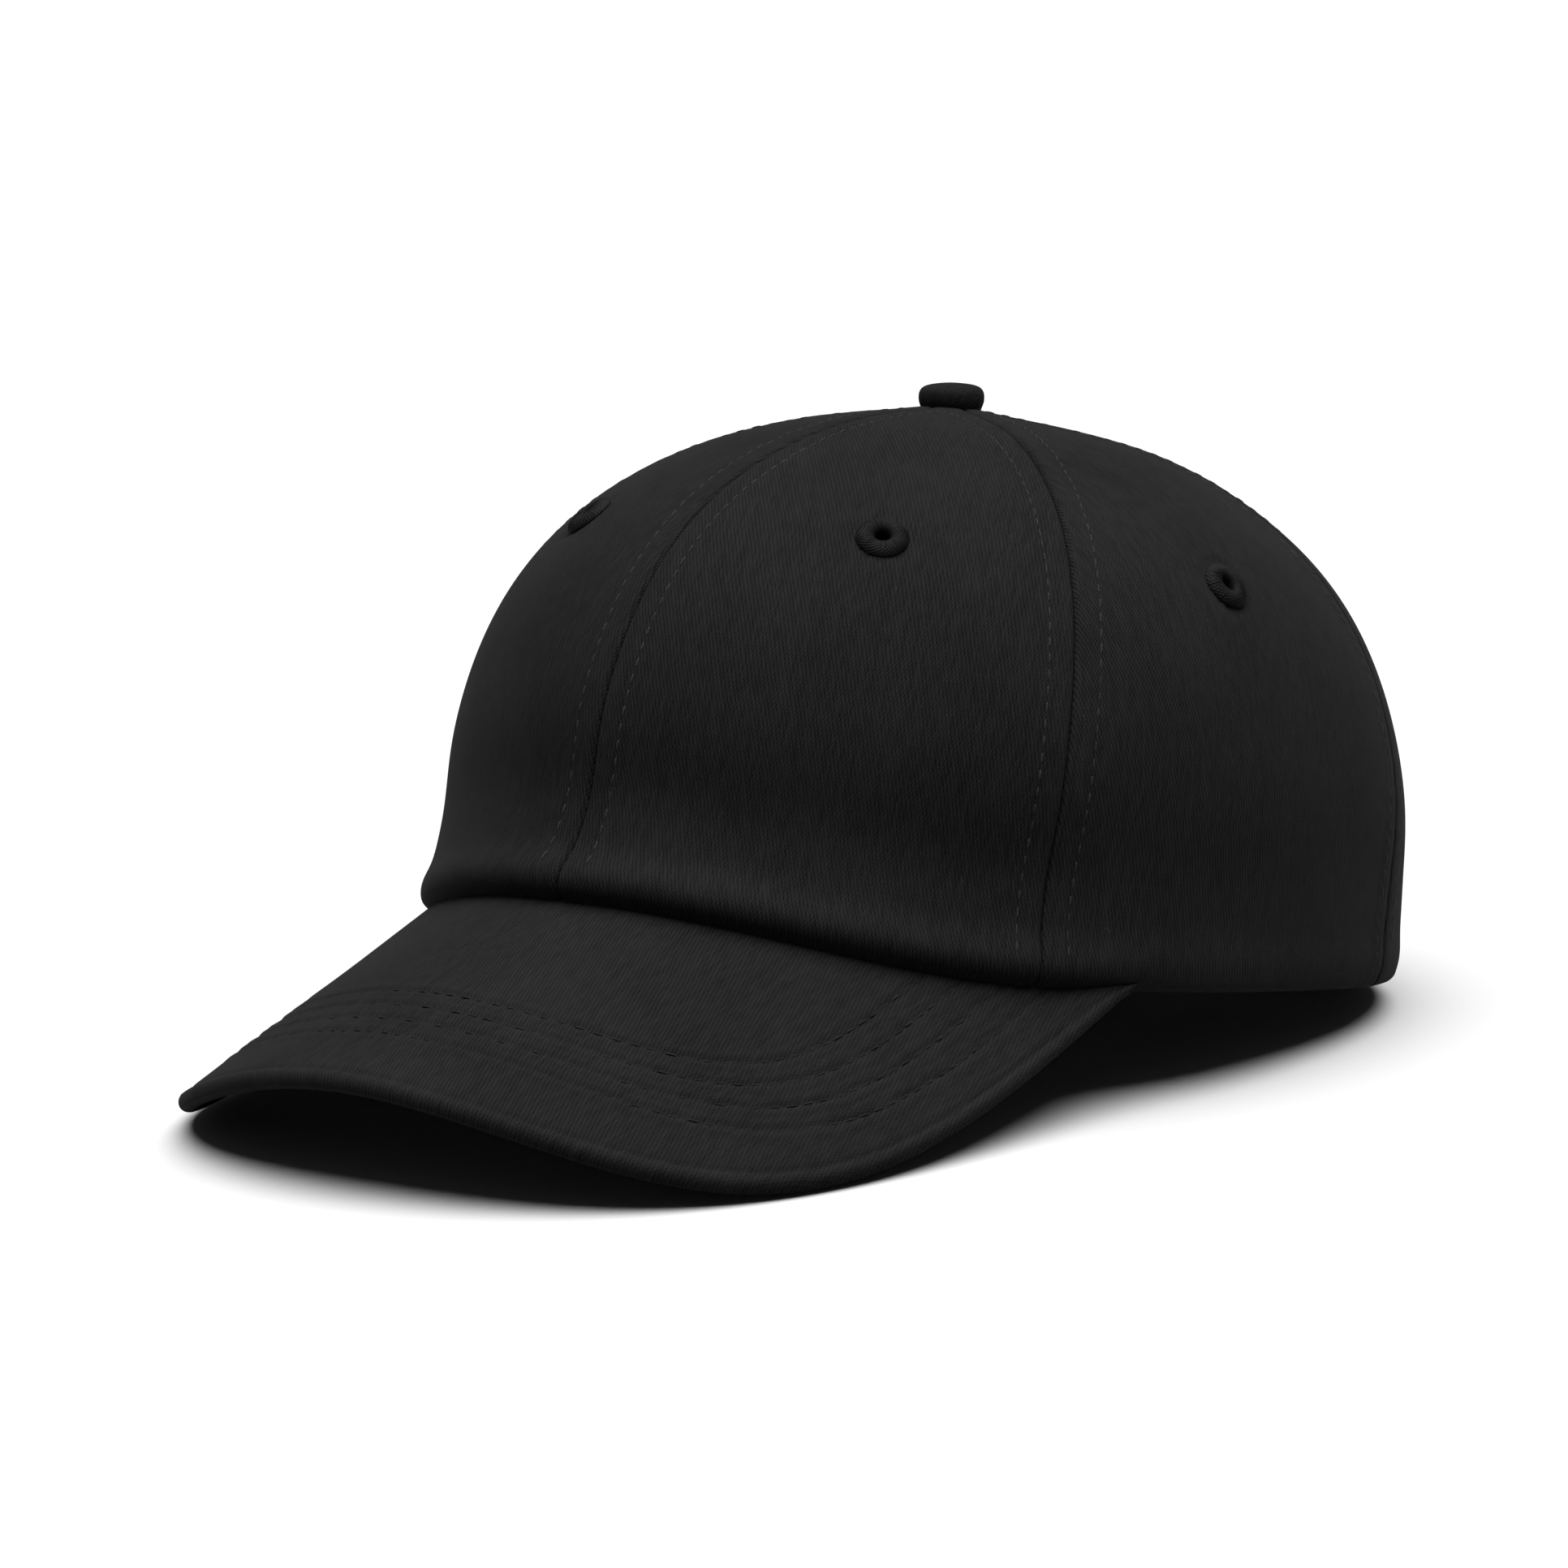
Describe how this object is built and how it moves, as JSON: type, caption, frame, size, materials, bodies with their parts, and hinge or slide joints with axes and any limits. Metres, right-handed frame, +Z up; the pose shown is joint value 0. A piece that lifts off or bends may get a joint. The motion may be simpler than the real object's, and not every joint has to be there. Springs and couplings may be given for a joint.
{
  "type": "baseball cap",
  "caption": "Panelled cotton twill cap with a curved stiffened visor, a cloth-covered top button, stitched vent eyelets and a strap with a latching buckle over a half-moon back opening.",
  "frame": {"origin": "centre of the bounding box at its bottom, on the surface the cap stands on (visor tips and back of the rim)", "axes": "+Z up, -Y towards the front of the cap and its visor, +X towards the wearer's left"},
  "size_m": [0.1734, 0.2626, 0.1214],
  "materials": {
    "twill": "black cotton twill, matte",
    "thread": "black embroidery thread, satin",
    "seam_tape": "black cotton tape, matte",
    "buckram": "stiffened open-weave cotton, matte",
    "sweatband": "black cotton twill, matte",
    "label": "blank woven satin label",
    "board": "natural polyethylene sheet",
    "button_metal": "plain pressed steel",
    "buckle_metal": "antique brass, satin"
  },
  "bodies": {
    "cap": {"crown_panel_front_left": "twill", "crown_panel_front_right": "twill", "crown_panel_side_left": "twill", "crown_panel_side_right": "twill", "crown_panel_rear_left": "twill", "crown_panel_rear_right": "twill", "visor_cover_top": "twill", "visor_cover_bottom": "twill", "button_cover": "twill", "buckle_tab": "twill", "arch_binding": "twill", "eyelet_front_left": "thread", "eyelet_side_left": "thread", "eyelet_rear_left": "thread", "eyelet_front_right": "thread", "eyelet_side_right": "thread", "eyelet_rear_right": "thread", "seam_tape_front": "seam_tape", "seam_tape_side_left": "seam_tape", "seam_tape_side_right": "seam_tape", "seam_tape_rear_left": "seam_tape", "seam_tape_rear_right": "seam_tape", "seam_tape_back": "seam_tape", "front_buckram_left": "buckram", "front_buckram_right": "buckram", "sweatband": "sweatband", "care_label": "label", "visor_board": "board", "button_shell": "button_metal", "button_pin": "button_metal", "buckle_frame": "buckle_metal", "buckle_pin": "buckle_metal"},
    "strap_body": {"strap": "twill"},
    "latch_body": {"buckle_latch": "buckle_metal"}
  },
  "joints": [
    {"name": "latch_hinge", "type": "hinge", "parent": "cap", "child": "latch_body", "pos_m": [-0.01719, 0.12812, 0.012], "axis": [-0.0038, -0.1472, -0.9891], "range_deg": [0, 105]},
    {"name": "strap_adjust", "type": "hinge", "parent": "cap", "child": "strap_body", "pos_m": [0, 0.03932, 0.0173], "axis": [0, 0.1666, 0.986], "range_deg": [-5, 5]}
  ]
}
